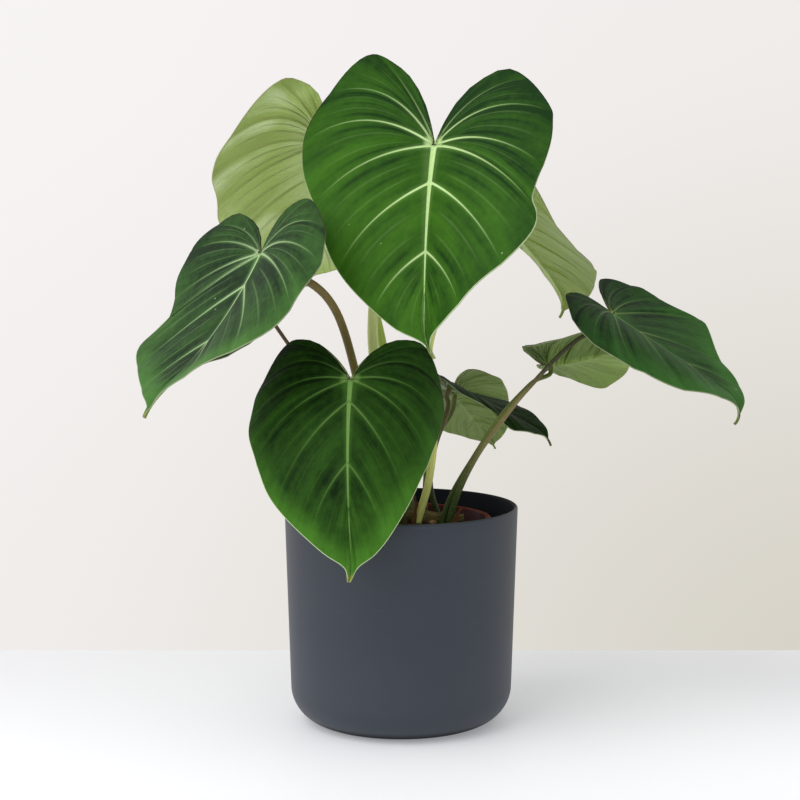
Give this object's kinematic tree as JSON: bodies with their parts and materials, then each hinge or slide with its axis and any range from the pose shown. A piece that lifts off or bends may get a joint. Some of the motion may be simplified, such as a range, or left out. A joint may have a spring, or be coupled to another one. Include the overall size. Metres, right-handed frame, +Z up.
{
  "type": "potted foliage plant",
  "caption": "Potted velvet-leaved philodendron: heart-shaped blades with pale veins on arching petioles, rising from a creeping stem in a nursery pot inside a dark cylindrical cover pot.",
  "frame": {"origin": "centre of the cover pot's flat foot, on the surface that the pot stands on", "axes": "+Z up, the front of the plant faces -Y, and +X is on the right of a viewer who looks at the front"},
  "size_m": [0.4592, 0.3155, 0.5139],
  "materials": {
    "cover_pot": "matt anthracite, fine grain",
    "nursery_pot": "matt terracotta brown",
    "potting_mix": "coarse, damp bark and peat",
    "rhizome": "dull green brown with dry scale scars",
    "petiole": "dull green to tan, finely streaked",
    "blade": "velvety deep green above with pale veins, pale matt green below"
  },
  "bodies": {
    "root": {"cover_pot": "cover_pot", "nursery_pot": "nursery_pot", "potting_mix": "potting_mix", "rhizome": "rhizome", "leaf_front_upper": "blade", "leaf_front_lower": "blade", "leaf_left": "blade", "leaf_back_left": "blade", "leaf_back_right": "blade", "leaf_right": "blade", "leaf_right_under": "blade", "leaf_inner_back": "blade", "leaf_inner_right": "blade", "leaf_left_under": "blade", "petiole_front_upper": "petiole", "petiole_front_lower": "petiole", "petiole_left": "petiole", "petiole_back_left": "petiole", "petiole_back_right": "petiole", "petiole_right": "petiole", "petiole_right_under": "petiole", "petiole_inner_back": "petiole", "petiole_inner_right": "petiole", "petiole_left_under": "petiole"}
  },
  "joints": []
}
